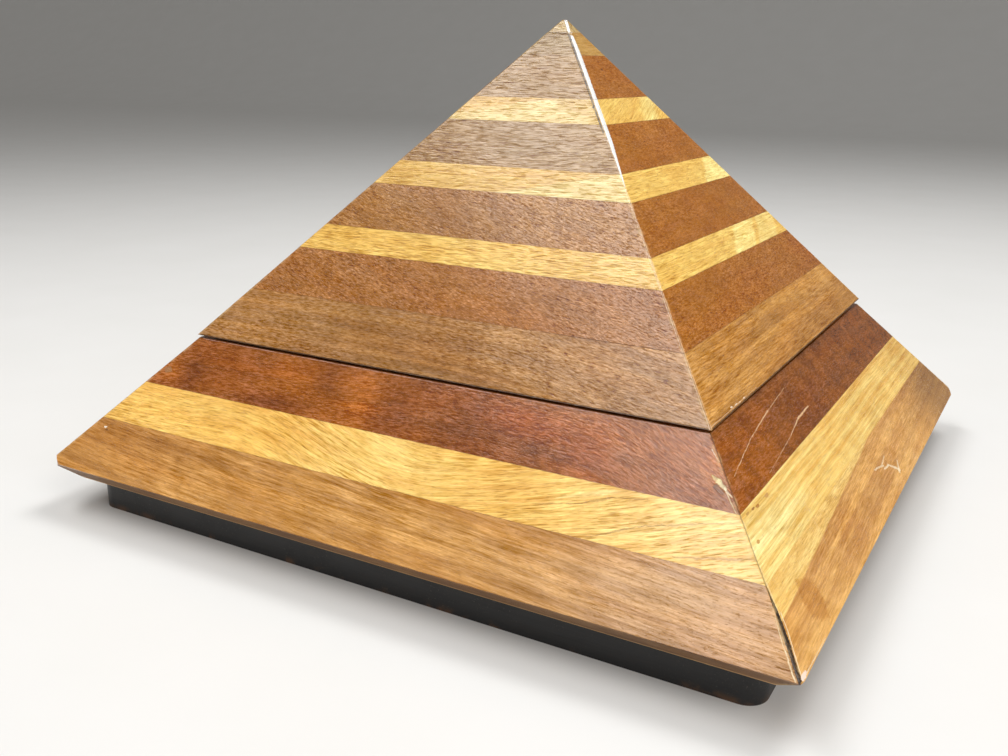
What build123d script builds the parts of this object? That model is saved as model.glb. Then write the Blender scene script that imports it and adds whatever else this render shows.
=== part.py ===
from build123d import *
import os
from math import atan2, cos, degrees, hypot, sin, sqrt, tan

# Dice box: a striped wooden pyramid that splits into a hollow base and a hollow lid,
# hinged along the back. Millimetres, +Z up, -Y is the front. The origin is on the
# table, under the middle of the box.

# Outer form. Widths are across the flats of a square.
base_width = 305.0          # over the base's lower outer edges
base_rim_width = 216.6      # over the base's rim, where it splits from the lid
base_rise = 48.8            # lower outer edge to rim, vertically
lid_overhang = 0.5          # the lid's rim stands this far outside the base's rim
lid_rise = 125.5            # lid rim to the sharp apex, vertically
edge_height = 20.6          # table to the base's lower outer edge

# Strips of the laminated panels, measured down the slope. The lowest strip of the
# lid and of the base takes up what the others leave.
panel_thickness = 12.0
tip_slant = 8.1
light_strip = 11.9
brown_strip = 21.5
lid_pairs = 4               # pairs of a light and a brown strip below the tip
base_top_strip = 23.5
base_middle_strip = 18.7

# Eased arrises. The lid's have a narrow flat, widest at the tip.
lid_apex_cut = 0.55         # how far the flats lower the sharp apex
lid_corner_cut = 0.2        # taken off each corner of the lid's rim, along the diagonal
base_corner_cut = 0.25      # the same for the base, all the way down its arrises
tip_blunting = 1.2          # sharp apex to the top of the tip
foot_corner_radius = 8.5    # rubbed round on the base's lower corners, seen from above
crisp_corner_radius = 2.5   # the same on its front right corner, which is nearly sharp

# Plinth frame, bottom board and lining.
plinth_recess = 13.0        # rails stand this far inside the base's lower outer edge
plinth_corner_radius = 7.3
rail_thickness = 14.0
board_thickness = 6.0
board_height = 6.0          # table to the underside of the bottom board
groove_depth = 5.0
felt_thickness = 2.0
felt_edge_clearance = 0.5

# Butt hinges, two of them, screwed to the rims without mortises, so that their closed
# leaves hold the lid and the base apart at the back.
hinge_length = 38.0
hinge_leaf_width = 15.0     # pin axis to the leaf's free edge
leaf_thickness = 1.0        # also the wall of the rolled knuckles
leaf_clearance = 0.5        # between the two closed leaves
hinge_spacing = 120.0       # centre to centre
barrel_clearance = 0.5      # barrel to the lid's rim
pin_radius = 1.0
pin_running_clearance = 0.05
pin_end = 0.5               # each end of the pin stands out of the barrel
knuckle_count = 5
knuckle_gap = 0.3
leaf_corner_radius = 1.5
lid_droop = 0.35            # degrees that the closed lid sinks at the front, in the hinges' play

# Hinge screws, countersunk flush with the leaf.
screw_length = 6.0
screw_radius = 1.1
screw_head_radius = 2.0
screw_point_length = 1.6
screw_spacing = 24.0
screw_slot_width = 0.5
screw_slot_depth = 0.4

SIDES = {"front": 0, "right": 90, "back": 180, "left": 270}

# Worked-out places.
half_base = base_width / 2
half_base_rim = base_rim_width / 2
half_lid_rim = half_base_rim + lid_overhang
base_slope = atan2(base_rise, half_base - half_base_rim)
lid_slope = atan2(lid_rise, half_lid_rim)
parting_gap = 2 * leaf_thickness + leaf_clearance
base_rim_z = edge_height + base_rise
lid_rim_z = base_rim_z + parting_gap
apex_z = lid_rim_z + lid_rise
lid_slant = hypot(half_lid_rim, lid_rise)
base_slant = hypot(half_base - half_base_rim, base_rise)
half_plinth = half_base - plinth_recess
half_tray = half_plinth - rail_thickness
barrel_radius = pin_radius + leaf_thickness
hinge_y = half_lid_rim + barrel_radius + barrel_clearance
hinge_z = base_rim_z + parting_gap / 2


def pyramid(half_width, z, slope):
    """A solid pyramid on a square, whose faces rise at the slope from that square."""
    square = Pos(0, 0, z) * Rectangle(2 * half_width, 2 * half_width)
    return loft([square.face(), Vertex(0, 0, z + half_width * tan(slope))])


def slab(z_low, z_high):
    """A wide block between two heights."""
    return Pos(0, 0, z_low) * Box(
        2 * base_width, 2 * base_width, z_high - z_low, align=(Align.CENTER, Align.CENTER, Align.MIN)
    )


def front_sector():
    """Everything that belongs to the front side: the space between two mitre planes."""
    reach = 2 * base_width
    outline = Polyline((0, 0), (reach, -reach), (-reach, -reach), close=True)
    return extrude(make_face(outline), amount=2 * apex_z)


def slope_band(edge_radius, edge_z, slope, start, end):
    """The space between two glue joints of a front panel. Both are square to its face.
    They lie start and end up the slope from the edge at (edge_radius, edge_z)."""
    reach = 2 * base_width
    outline = Pos(start, 0) * Rectangle(end - start, reach, align=(Align.MIN, Align.CENTER))
    up_slope = Plane(
        origin=(0, -edge_radius, edge_z), x_dir=(0, cos(slope), sin(slope)), z_dir=(1, 0, 0)
    )
    return extrude(up_slope * outline, amount=reach, both=True)


def ease_arrises(block, half_width, z, slope, corner_cut, apex_cut):
    """Cuts a flat along each arris of a pyramid. The flats are the faces of a second
    pyramid, turned by 45 degrees, whose corners and apex lie the cuts further in."""
    reach = half_width * sqrt(2) - corner_cut
    height = half_width * tan(slope) - apex_cut
    return block & Rot(0, 0, 45) * pyramid(reach, z, atan2(height, reach))


def lid_outer_form():
    """The lid as if solid, with its arrises and its tip eased."""
    block = pyramid(half_lid_rim, lid_rim_z, lid_slope)
    block = ease_arrises(block, half_lid_rim, lid_rim_z, lid_slope, lid_corner_cut, lid_apex_cut)
    return block & slab(lid_rim_z, apex_z - tip_blunting)


def base_outer_form():
    """The base as if solid, from below its lower outer edge up to its rim."""
    low_z = edge_height - panel_thickness
    half_low = half_base + panel_thickness / tan(base_slope)
    apex_cut = base_corner_cut * tan(base_slope) / sqrt(2)
    block = pyramid(half_low, low_z, base_slope)
    block = ease_arrises(block, half_low, low_z, base_slope, base_corner_cut, apex_cut)
    return block & slab(low_z, base_rim_z)


def base_hollow():
    """The space inside the base's panels, from the table up to the rim."""
    half_rim = half_base_rim - panel_thickness / sin(base_slope)
    half_low = half_rim + base_rim_z / tan(base_slope)
    return pyramid(half_low, 0, base_slope) & slab(0, base_rim_z)


def lid_hollow():
    """The space inside the lid's panels."""
    half_rim = half_lid_rim - panel_thickness / sin(lid_slope)
    return pyramid(half_rim, lid_rim_z, lid_slope)


def lid_strips():
    """Names of the strips of one lid panel, with where each starts and ends up the slope
    from the rim. Pairs are counted upwards."""
    tip_start = lid_slant - tip_slant
    pair = brown_strip + light_strip
    strips = {"rim_strip": (-lid_slant, tip_start - lid_pairs * pair)}
    for number in range(1, lid_pairs + 1):
        start = tip_start - (lid_pairs + 1 - number) * pair
        strips[f"brown_strip_{number}"] = (start, start + brown_strip)
        strips[f"light_strip_{number}"] = (start + brown_strip, start + pair)
    strips[f"light_strip_{lid_pairs}"] = (tip_start - light_strip, lid_slant)
    return strips


def base_strips():
    """The same for one base panel, counted up the slope from its lower outer edge."""
    top_start = base_slant - base_top_strip
    middle_start = top_start - base_middle_strip
    return {
        "bottom_strip": (0, middle_start),
        "middle_strip": (middle_start, top_start),
        "top_strip": (top_start, 2 * base_slant),
    }


def on_four_sides(name, piece):
    """Turns a piece of the front side to all four sides, under their names."""
    return {name.format(side): Rot(0, 0, turn) * piece for side, turn in SIDES.items()}


def lid_panels():
    """Every strip of the lid, and the solid tip that closes it."""
    parts = {}
    tip_z = apex_z - tip_slant * sin(lid_slope)
    block = lid_outer_form()
    panel = (block - lid_hollow()) & front_sector() & slab(0, tip_z)
    for name, (start, end) in lid_strips().items():
        strip = panel & slope_band(half_lid_rim, lid_rim_z, lid_slope, start, end)
        parts |= on_four_sides("lid_{}_" + name, strip)
    parts["lid_tip"] = block & slab(tip_z, apex_z)
    return parts


def corner_waste(radius):
    """What a vertical rounding takes off the front right corner of the base. Like hand
    rubbing, it meets the two edges at a slight angle."""
    centre = half_base - 0.995 * radius
    square = Pos(centre, -centre, 0) * Box(
        2 * radius, 2 * radius, 4 * base_rim_z, align=(Align.MIN, Align.MAX, Align.CENTER)
    )
    return square - Pos(centre, -centre, 0) * Cylinder(radius, 5 * base_rim_z)


def base_panels():
    """Every strip of the base."""
    parts = {}
    panel = (base_outer_form() - base_hollow()) & front_sector()
    for name, (start, end) in base_strips().items():
        strip = panel & slope_band(half_base, edge_height, base_slope, start, end)
        parts |= on_four_sides("base_{}_" + name, strip)
    sides = list(SIDES)
    for number, side in enumerate(sides):
        radius = crisp_corner_radius if side == "front" else foot_corner_radius
        waste = Rot(0, 0, SIDES[side]) * corner_waste(radius)
        for neighbour in (side, sides[(number + 1) % 4]):
            parts[f"base_{neighbour}_bottom_strip"] -= waste
    return parts


def bottom_board():
    half = half_tray + groove_depth
    return Pos(0, 0, board_height) * Box(
        2 * half, 2 * half, board_thickness, align=(Align.CENTER, Align.CENTER, Align.MIN)
    )


def plinth_rails():
    """Four mitred rails, grooved for the bottom board and bevelled to meet the panels."""
    outline = RectangleRounded(2 * half_plinth, 2 * half_plinth, plinth_corner_radius)
    outline -= Rectangle(2 * half_tray, 2 * half_tray)
    frame = (extrude(outline, amount=base_rim_z) & base_hollow()) - bottom_board()
    return on_four_sides("plinth_rail_{}", frame & front_sector())


def tray_felt():
    half = half_tray - felt_edge_clearance
    return Pos(0, 0, board_height + board_thickness) * Box(
        2 * half, 2 * half, felt_thickness, align=(Align.CENTER, Align.CENTER, Align.MIN)
    )


def knuckle_spans(first):
    """Start and end of every second knuckle along the pin, from the first one given."""
    pitch = (hinge_length + knuckle_gap) / knuckle_count
    return [
        (index * pitch - hinge_length / 2, index * pitch - hinge_length / 2 + pitch - knuckle_gap)
        for index in range(first, knuckle_count, 2)
    ]


def along_x(shape_2d, start, end):
    """Extrudes a section drawn on (Y, Z) from one X to another."""
    return extrude(Plane(origin=(start, 0, 0), x_dir=(0, 1, 0), z_dir=(1, 0, 0)) * shape_2d,
                   amount=end - start)


def hinge_leaf(first_knuckle, bore_radius):
    """One leaf about the pin axis, lying below it, with its free edge towards -Y."""
    plate_top = -leaf_clearance / 2
    plate_end = -barrel_radius - knuckle_gap
    plate = Pos(0, plate_end, plate_top) * Box(
        hinge_length, hinge_leaf_width + plate_end, leaf_thickness,
        align=(Align.CENTER, Align.MAX, Align.MAX),
    )
    free_corners = plate.edges().filter_by(Axis.Z).group_by(Axis.Y)[0]
    leaf = fillet(free_corners, leaf_corner_radius)
    neck = Pos(plate_end, plate_top) * Rectangle(
        -plate_end, leaf_thickness, align=(Align.MIN, Align.MAX)
    )
    section = neck + Circle(barrel_radius) - Circle(bore_radius)
    for start, end in knuckle_spans(first_knuckle):
        leaf += along_x(section, start, end)
    return leaf


def hinge_screw():
    """A countersunk screw with its head's top at the origin, pointing down."""
    shank_end = screw_length - screw_point_length
    outline = Polyline(
        (0, 0), (screw_head_radius, 0), (screw_radius, -leaf_thickness),
        (screw_radius, -shank_end), (0, -screw_length), close=True,
    )
    return revolve(Plane.XZ * make_face(outline), Axis.Z)


def hinge_pin():
    pin = Rot(0, 90, 0) * Cylinder(pin_radius, hinge_length + 2 * pin_end)
    return chamfer(pin.edges().filter_by(GeomType.CIRCLE), pin_end / 2)


def half_hinge(leaf):
    """A leaf that lies below the pin axis, bored for its screws, with those screws
    and the shapes that they bore."""
    plate_middle = -(hinge_leaf_width + barrel_radius + knuckle_gap) / 2
    slot = Box(2 * screw_head_radius, screw_slot_width, 2 * screw_slot_depth)
    spots = [
        Pos(step * screw_spacing / 2, plate_middle, -leaf_clearance / 2) for step in (-1, 1)
    ]
    bores = [spot * hinge_screw() for spot in spots]
    screws = [spot * (hinge_screw() - slot) for spot in spots]
    return leaf - bores, screws, bores


def hinge_parts():
    """Both hinges, and the screw bores to cut out of the base's and the lid's rims.
    The lid's half is the base's half mirrored in the plane of the pin axis."""
    base_leaf, base_screws, base_bores = half_hinge(hinge_leaf(0, pin_radius))
    lid_leaf, lid_screws, lid_bores = half_hinge(hinge_leaf(1, pin_radius + pin_running_clearance))
    places = [Pos(side * hinge_spacing / 2, hinge_y, hinge_z) for side in (-1, 1)]
    upward = {
        "lid_leaves": [lid_leaf],
        "lid_screws": lid_screws,
        "lid_bores": lid_bores,
    }
    downward = {
        "base_leaves": [base_leaf],
        "base_screws": base_screws,
        "base_bores": base_bores,
        "pins": [hinge_pin()],
    }
    mirrored = {name: [mirror(piece, Plane.XY) for piece in pieces] for name, pieces in upward.items()}
    return {
        name: [place * piece for place in places for piece in pieces]
        for name, pieces in (downward | mirrored).items()
    }


def closed(piece):
    """Turns a piece of the lid about the pins, from level to how the closed lid lies."""
    to_pins = Pos(0, hinge_y, hinge_z)
    return to_pins * Rot(lid_droop, 0, 0) * to_pins.inverse() * piece


def build():
    """Every node of the closed box, by name."""
    base = base_panels() | plinth_rails()
    base["bottom_board"] = bottom_board()
    base["tray_felt"] = tray_felt()
    lid = lid_panels()
    hinge = hinge_parts()
    base["base_back_top_strip"] -= hinge["base_bores"]
    lid["lid_back_rim_strip"] -= hinge["lid_bores"]
    for name in ("base_leaves", "base_screws", "pins"):
        base[f"hinge_{name}"] = Compound(children=hinge[name])
    parts = base | {name: closed(piece) for name, piece in lid.items()}
    for name in ("lid_leaves", "lid_screws"):
        parts[f"hinge_{name}"] = Compound(children=[closed(piece) for piece in hinge[name]])
    return parts


def main():
    os.makedirs("parts", exist_ok=True)
    parts = build()
    for name, piece in parts.items():
        export_step(piece, f"parts/{name}.step")
    print(f"{len(parts)} nodes, {apex_z - tip_blunting:.1f} mm tall")
    print(f"slopes {degrees(base_slope):.2f} and {degrees(lid_slope):.2f} degrees")
    print(f"pin axis at y {hinge_y:.2f}, z {hinge_z:.2f}")


main()
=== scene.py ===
# %% [markdown]
# # A striped pyramid dice box, dressed for its picture
# The box is a square pyramid of sloping wooden panels. Each panel is a stack of strips glued edge to edge,
# pale, brown and red-brown in turn, and the top two thirds lift off the base on two brass hinges.
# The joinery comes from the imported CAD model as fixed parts. This lesson adds what the joinery can't say:
# the woods, their varnish, the seams, the knocks of use, the felt, and a plain studio to see them in.

# %% Load the fixed frame
import math
from functools import partial

import bpy
from mathutils import Matrix, Quaternion, Vector


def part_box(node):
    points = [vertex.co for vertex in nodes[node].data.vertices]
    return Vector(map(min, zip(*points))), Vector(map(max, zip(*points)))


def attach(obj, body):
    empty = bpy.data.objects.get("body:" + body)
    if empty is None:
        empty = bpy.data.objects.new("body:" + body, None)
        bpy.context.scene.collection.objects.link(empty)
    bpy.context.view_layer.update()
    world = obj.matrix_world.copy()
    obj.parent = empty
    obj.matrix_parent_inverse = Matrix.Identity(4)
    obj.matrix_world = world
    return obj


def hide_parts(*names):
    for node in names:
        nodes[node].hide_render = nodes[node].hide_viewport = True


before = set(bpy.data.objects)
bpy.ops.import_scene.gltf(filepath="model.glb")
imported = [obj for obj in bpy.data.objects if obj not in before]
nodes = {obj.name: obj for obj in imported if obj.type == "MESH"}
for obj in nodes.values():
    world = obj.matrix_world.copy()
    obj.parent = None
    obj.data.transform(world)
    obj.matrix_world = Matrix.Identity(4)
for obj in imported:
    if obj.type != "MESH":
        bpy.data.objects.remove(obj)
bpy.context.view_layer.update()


def place_object(name, data):
    placed = bpy.data.objects.new(name, data)
    bpy.context.scene.collection.objects.link(placed)
    return placed


# %% [markdown]
# ## The camera
# The box is seen from a little above its rim, off its front right corner, so two striped sides show at once.
# A camera could be aimed with a tracking constraint, but a constraint always holds the horizon level.
# Here the place and the three angles are given, because the picture leans by a little under one degree.

# %% Place the camera
PLACE = Vector((0.19874, -0.39694, 0.17600))
TURN, DOWN, LEAN = (math.radians(a) for a in (29.576, 16.879, 0.841))
ahead = Vector((-math.sin(TURN) * math.cos(DOWN), math.cos(TURN) * math.cos(DOWN), -math.sin(DOWN)))
level = Vector((math.cos(TURN), math.sin(TURN), 0))
upright = level.cross(ahead)
right = level * math.cos(LEAN) + upright * math.sin(LEAN)
up = upright * math.cos(LEAN) - level * math.sin(LEAN)

lens = bpy.data.cameras.new("camera")
lens.lens, lens.sensor_width = 36.40, 36.0
lens.clip_start, lens.clip_end = 0.01, 50
camera = place_object("camera", lens)
camera.matrix_world = Matrix.Translation(PLACE) @ Matrix((right, up, -ahead)).transposed().to_4x4()
bpy.context.scene.camera = camera
print("camera at", PLACE[:], "lens", lens.lens)

# %% [markdown]
# ## A way to write shader nodes in few lines
# A wood needs many small sums: stretch, turn, compare, mix. They could be drawn by hand in the shader editor,
# but in a script each node takes several lines, so a few small helpers do that work.
# `add` places any node, `calc` and `move` are number and vector sums, and `fade` is a soft step from 0 to 1.
# The commonest sums have names of their own, from `times` to `times_plus`, which is a times b plus c.
# All of them write into `tree`, the shader begun last, so that a sum isn't buried under the name of its shader.

# %% Node helpers
tree = None


def begin(shader):
    """Names the shader that the helpers write into from here on."""
    global tree
    tree = shader


def feed(socket, value):
    """Links another node's output to a socket, or sets the socket's own value."""
    if isinstance(value, bpy.types.NodeSocket):
        tree.links.new(value, socket)
    else:
        socket.default_value = value


def add(kind, inputs=None, **settings):
    """Places a node. inputs maps a socket's name or number to a value or to another node's output."""
    node = tree.nodes.new("ShaderNode" + kind)
    for name, value in settings.items():
        setattr(node, name, value)
    for key, value in (inputs or {}).items():
        feed(node.inputs[key], value)
    return node


def calc(operation, *values, clamp=False):
    return add("Math", dict(enumerate(values)), operation=operation, use_clamp=clamp).outputs[0]


times, minus, plus, ratio, larger, times_plus = (
    partial(calc, kind) for kind in ("MULTIPLY", "SUBTRACT", "ADD", "DIVIDE", "MAXIMUM", "MULTIPLY_ADD"))


def move(operation, *values):
    key = {"SCALE": (0, "Scale")}.get(operation, (0, 1, 2))
    node = add("VectorMath", dict(zip(key, values)), operation=operation)
    return node.outputs["Value" if operation in ("LENGTH", "DOT_PRODUCT") else "Vector"]


def vector(x=0.0, y=0.0, z=0.0):
    return add("CombineXYZ", {0: x, 1: y, 2: z}).outputs[0]


def split(place):
    return add("SeparateXYZ", {0: place}).outputs


def fade(value, start, end, low=0.0, high=1.0):
    """0 before start, 1 after end, and soft between them. start may be the larger."""
    steps = {"Value": value, "From Min": start, "From Max": end, "To Min": low, "To Max": high}
    return add("MapRange", steps, interpolation_type="SMOOTHSTEP").outputs["Result"]


def blend(amount, under, over, how="MIX"):
    node = add("Mix", data_type="RGBA", blend_type=how)
    for key, value in zip(("Factor_Float", "A_Color", "B_Color"), (amount, under, over)):
        feed(next(s for s in node.inputs if s.identifier == key), value)
    return next(s for s in node.outputs if s.identifier == "Result_Color")


def noise(place, scale, detail=2.0, roughness=0.5, twist=0.0):
    """A cloudy field. scale is a number, or a vector that draws the field out in three directions."""
    if isinstance(scale, (tuple, bpy.types.NodeSocketVector)):
        place, scale = move("MULTIPLY", place, scale), 1.0
    values = {"Vector": place, "Scale": scale, "Detail": detail, "Roughness": roughness, "Distortion": twist}
    return add("TexNoise", values).outputs["Fac"]


def millimetres():
    return move("SCALE", add("TexCoord").outputs["Object"], 1000.0)


# %% Helpers for shader groups, materials and colours
ORIGIN, BLACK = (0.0, 0.0, 0.0), [0.0, 0.0, 0.0, 1.0]


def group(name, inputs, outputs):
    """An empty shader group. inputs and outputs map each socket's name to its kind or its first value."""
    kinds = {float: "Float", tuple: "Vector", list: "Color"}
    begin(bpy.data.node_groups.new(name, "ShaderNodeTree"))
    for side, sockets in (("INPUT", inputs), ("OUTPUT", outputs)):
        for label, value in sockets.items():
            socket = tree.interface.new_socket(label, in_out=side, socket_type="NodeSocket" + kinds[type(value)])
            socket.default_value = value
    return tree.nodes.new("NodeGroupInput").outputs, tree.nodes.new("NodeGroupOutput").inputs


def give(made, **values):
    """Links a group's results to its outputs."""
    for name, value in values.items():
        tree.links.new(value, made[name])
    print("group", tree.name, len(tree.nodes), "nodes")


def place_group(name, inputs):
    return add("Group", inputs, node_tree=bpy.data.node_groups[name]).outputs


def new_material(name):
    material = bpy.data.materials.new(name)
    material.use_nodes = True
    begin(material.node_tree)
    return material, tree.nodes["Principled BSDF"]


def link(skin, relief=None, bump=0.0001, **sockets):
    """Links results to the surface. bump is the height of the relief in metres."""
    for name, value in sockets.items():
        tree.links.new(value, skin.inputs[name.replace("_", " ")])
    if relief is not None:
        tree.links.new(add("Bump", {"Height": relief, "Distance": bump}).outputs[0], skin.inputs["Normal"])


def wear_material(name, material):
    nodes[name].data.materials.clear()
    nodes[name].data.materials.append(material)


def shade(red, green, blue):
    """A colour as a screen shows it, 0 to 255, made linear for the shader."""
    return [*((c / 255 / 12.92 if c <= 10 else ((c / 255 + 0.055) / 1.055) ** 2.4) for c in (red, green, blue)), 1.0]


def tones(light, dark):
    return {"Light": shade(*light), "Dark": shade(*dark)}


print("helpers ready; mid grey is", round(shade(128, 128, 128)[0], 3))

# %% [markdown]
# ## Floor, backdrop and lamps
# The box stands on a plain pale floor that sweeps up far behind it, so that no line shows behind its tip.
# Varnish shows its lamps, so each lamp is placed by what it does in the gloss: a soft box high at the front left
# lies in the mirror of the front panel, and one nearly overhead catches the sharp corners of the lid.
# A studio picture wrapped round the scene would light it too, but its lamps couldn't be placed one by one.

# %% The floor and its sweep
def swept_floor(width, front, back, radius, height):
    """A sheet that runs along the floor and bends up into a wall."""
    line = [(front, 0.0), (back - radius, 0.0)]
    line += [(back - radius + radius * math.sin(a), radius - radius * math.cos(a))
             for a in (math.radians(5 * i) for i in range(1, 19))]
    line.append((back, height))
    mesh = bpy.data.meshes.new("studio_floor")
    points = [(side * width / 2, y, z) for y, z in line for side in (-1, 1)]
    faces = [(2 * i, 2 * i + 1, 2 * i + 3, 2 * i + 2) for i in range(len(line) - 1)]
    mesh.from_pydata(points, [], faces)
    mesh.polygons.foreach_set("use_smooth", [True] * len(faces))
    return place_object("studio_floor", mesh)


floor = swept_floor(width=16.0, front=-4.0, back=4.2, radius=1.5, height=4.0)
paper, skin = new_material("floor_paper")
fleck = noise(add("TexCoord").outputs["Object"], 14.0, 3.0)
link(skin, Base_Color=blend(fleck, shade(222, 221, 218), shade(227, 226, 224)))
skin.inputs["Roughness"].default_value = 0.85
floor.data.materials.append(paper)
print("floor", [round(c, 2) for c in floor.dimensions])

# %% The lamps and the room
AIM = Vector((0, 0, 0.08))
ROOM_LIGHT = 0.27


def soft_box(name, place, size, watts, spin=0.0):
    """A rectangular lamp that faces the box. spin turns it about its own beam, in degrees."""
    lamp = bpy.data.lights.new(name, "AREA")
    lamp.shape, lamp.size, lamp.size_y = "RECTANGLE", size[0], size[1]
    lamp.energy = watts
    box = place_object(name, lamp)
    box.location = place
    box.rotation_mode = "QUATERNION"
    facing = (AIM - Vector(place)).to_track_quat("-Z", "Y")
    box.rotation_quaternion = facing @ Quaternion((0, 0, 1), math.radians(spin))


soft_box("front_soft_box", (-0.408, -0.338, 1.20), (0.34, 1.00), 6.9, spin=94)
soft_box("low_front_soft_box", (-0.17, -0.95, 1.20), (0.42, 0.42), 2.7)
soft_box("overhead_soft_box", (0.35, 0.55, 1.45), (0.7, 0.7), 12.0)
soft_box("right_soft_box", (1.25, -0.75, 0.95), (0.8, 0.8), 11.0)
world = bpy.data.worlds.new("room")
world.use_nodes = True
air = world.node_tree.nodes["Background"].inputs
air["Color"].default_value, air["Strength"].default_value = shade(255, 253, 250), ROOM_LIGHT
bpy.context.scene.world = world
bpy.context.scene.view_settings.view_transform = "Standard"
print("lamps", len(bpy.data.lights), "room light", ROOM_LIGHT)

# %% [markdown]
# ## Where a point lies on its panel
# Grain follows the strip: along it, across it up the slope, and into its thickness. Object coordinates know
# nothing of that. A UV map would have to be painted onto each strip, and the same board would then break
# at every edge. Turning the coordinates by the panel's side and slope gives all three directions at once,
# and the grain carries round the strip's edges as it does in solid wood.
# The closed lid leans forward by a third of a degree, so its points are first turned back about the pins.

# %% Group: panel coordinates, in millimetres
given, made = group(
    "panel_coordinates", {"Turn": 0.0, "Slope": 0.0, "Droop": 0.0, "Face": 0.0},
    {"Along": 0.0, "Up": 0.0, "Mitre": 0.0, "Place": ORIGIN})
PINS = (0.0, 111.30, 70.65)
HALF_ROOT = 0.7071  # the mitre runs at 45 degrees, seen from above


def turn(point, axis, angle, about=ORIGIN):
    inputs = {"Vector": point, "Center": about, "Angle": angle}
    return add("VectorRotate", inputs, rotation_type=axis + "_AXIS").outputs[0]


point = turn(millimetres(), "X", given["Droop"], about=PINS)
point = turn(point, "Z", times(given["Turn"], -1.0))
facing = split(point)
mitre = times(plus(facing[1], calc("ABSOLUTE", facing[0])), -HALF_ROOT)
parts = split(turn(point, "X", times(given["Slope"], -1.0)))
depth = minus(given["Face"], parts[2])
give(made, Along=parts[0], Up=parts[1], Mitre=mitre, Place=vector(parts[0], parts[1], depth))

# %% [markdown]
# ## Wood
# Sawn wood shows four things: broad streaks where growth rings are cut, a cloudy figure where the fibres lean,
# fine fibre lines, and open pores, which are short dark dashes. A picture of a board would give all of them,
# but only for that board. Here each is a noise stretched along the grain, so any strip can have its own board.
# `Lean` and `Bow` bend the grain: a bowed board has lines that fall towards one place and rise after it.
# Fibres, pores and pale dashes are summed into one number, `lift`. The pale dashes are painted glints: the sparkle
# of light off the pore walls, painted into the colour. Where `lift` is low the colour grows deeper and warmer, and
# where it is high it grows paler, as in wood under varnish.
# `Thread` is the length of a fibre line, and `Deepest` stops `lift` short of black.

# %% Group: wood
given, made = group(
    "wood",
    {"Place": ORIGIN, "Seed": 0.0, "Lean": 0.0, "Bow": 0.0, "Bow at": 0.0, "Bow round": 20.0,
     "Bow from": -999.0, "Wander": 3.0, "Streak": 3.0, "Streak depth": 0.6, "Figure": 12.0, "Figure depth": 0.3,
     "Thread": 3.0, "Fibre": 0.3, "Ripple": 0.1, "Deepest": -1.0, "Pore length": 8.0, "Pore gap": 0.8,
     "Pores": 0.5, "Painted glints": 0.2, "Light": BLACK, "Dark": BLACK},
    {"Color": BLACK, "Hollows": 0.0, "Tone": 0.0, "Threads": 0.0})
parts = split(given["Place"])
away = calc("SMOOTH_MAX", minus(parts[0], given["Bow at"]), given["Bow from"], 30.0)
bowed = times_plus(away, away, times(given["Bow round"], given["Bow round"]))
bowed = times(minus(calc("SQRT", bowed), given["Bow round"]), given["Bow"])
across = minus(minus(parts[1], times(parts[0], given["Lean"])), bowed)
shift = move("SCALE", (37.1, 17.3, 11.7), given["Seed"])
drift = noise(move("ADD", given["Place"], shift), (0.012, 0.03, 0.03))
across = times_plus(minus(drift, 0.5), given["Wander"], across)
board = move("ADD", vector(parts[0], across, parts[2]), shift)

ring = ratio(1.0, given["Streak"])
streaks = noise(board, vector(0.008, ring, times(ring, 0.6)), 4.0, 0.6)
streaks = fade(streaks, 0.34, 0.66)
cloud = ratio(1.0, given["Figure"])
clouds = noise(board, vector(times(cloud, 0.7), cloud, cloud), 4.0, 0.62, 0.6)
clouds = fade(clouds, 0.36, 0.64)
fibres = noise(board, (0.05, 0.95, 0.95), 3.0, 0.75)
grit = noise(board, vector(ratio(1.0, given["Thread"]), 1.7, 1.7), 2.0, 0.7)
slanted = move("ADD", move("MULTIPLY", board, (0.07, 0.05, 0.05)), vector(times(parts[1], 0.04)))
ripple = noise(slanted, 1.0, 3.0, 0.5, 0.4)
slant = times_plus(parts[2], 0.7, across)
crowd = noise(board, (0.04, 0.25, 0.25))


def dashes(length, gap, seed, reach):
    """Short lines along the grain: the cells of a Voronoi texture, drawn out and shrunk to a thread."""
    cell = vector(ratio(times_plus(given["Seed"], seed, parts[0]), length),
                  ratio(times_plus(given["Seed"], 13.0, slant), gap))
    far = add("TexVoronoi", {"Vector": cell, "Scale": 1.0}, voronoi_dimensions="2D").outputs["Distance"]
    return fade(far, reach, times(reach, 0.45))


length, gap = given["Pore length"], given["Pore gap"]
reach = times_plus(fade(crowd, 0.3, 0.7), 0.08, times_plus(given["Pores"], 0.24, 0.03))
coarse = dashes(length, gap, 31.0, reach)
fine = dashes(times(length, 0.5), times(gap, 0.7), 47.0, reach)
# pale dashes: painted glints, highlights off the pore walls painted into the colour
pale = dashes(times(length, 0.6), gap, 59.0, reach)
hollows = larger(coarse, times(fine, 0.8))

tone = times_plus(clouds, given["Figure depth"], times(streaks, given["Streak depth"]))
tone = times_plus(minus(fibres, 0.5), 0.5, tone, clamp=True)
color = blend(tone, given["Light"], given["Dark"])
warm = fade(noise(board, (0.02, 0.1, 0.1), 3.0), 0.4, 0.65)
color = blend(times(warm, 0.5), color, (1.0, 0.88, 0.66, 1.0), "MULTIPLY")
threads = minus(times_plus(fibres, 0.5, times(grit, 1.7)), 1.1)
calm = fade(noise(board, (0.014, 0.05, 0.05)), 0.36, 0.64, 0.7, 1.15)
threads = times(times(threads, calm), given["Fibre"])
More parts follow.
